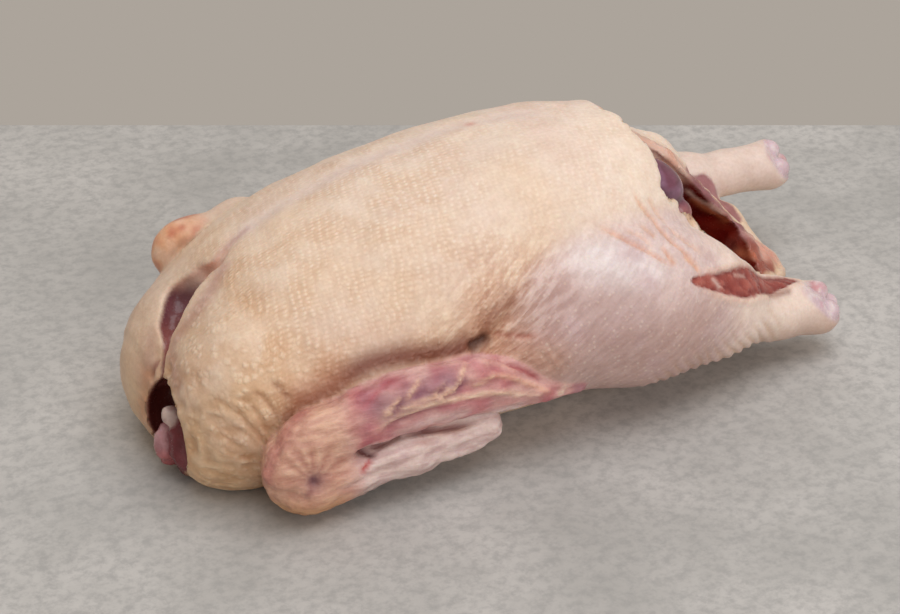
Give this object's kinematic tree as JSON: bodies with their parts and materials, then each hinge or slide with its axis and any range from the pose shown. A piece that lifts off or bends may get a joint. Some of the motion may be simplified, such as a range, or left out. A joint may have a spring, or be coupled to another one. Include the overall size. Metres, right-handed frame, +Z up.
{
  "type": "whole raw duck",
  "caption": "Whole plucked raw duck lying on its back, breast up, with folded wings, legs cut at the hock, an open body cavity at the vent and a slit at the neck end.",
  "frame": {"origin": "middle of the bounding box in plan, on the table plane", "axes": "+X from the neck end to the tail and legs, +Y towards the bird's far side in the picture, +Z up through the breast"},
  "size_m": [0.3458, 0.1604, 0.1178],
  "materials": {
    "skin": "moist raw poultry skin, cream to pink, fine goose-pimpled relief",
    "organ": "wet, dark purple, glossy"
  },
  "bodies": {
    "root": {"duck": "skin", "giblet": "organ"}
  },
  "joints": []
}
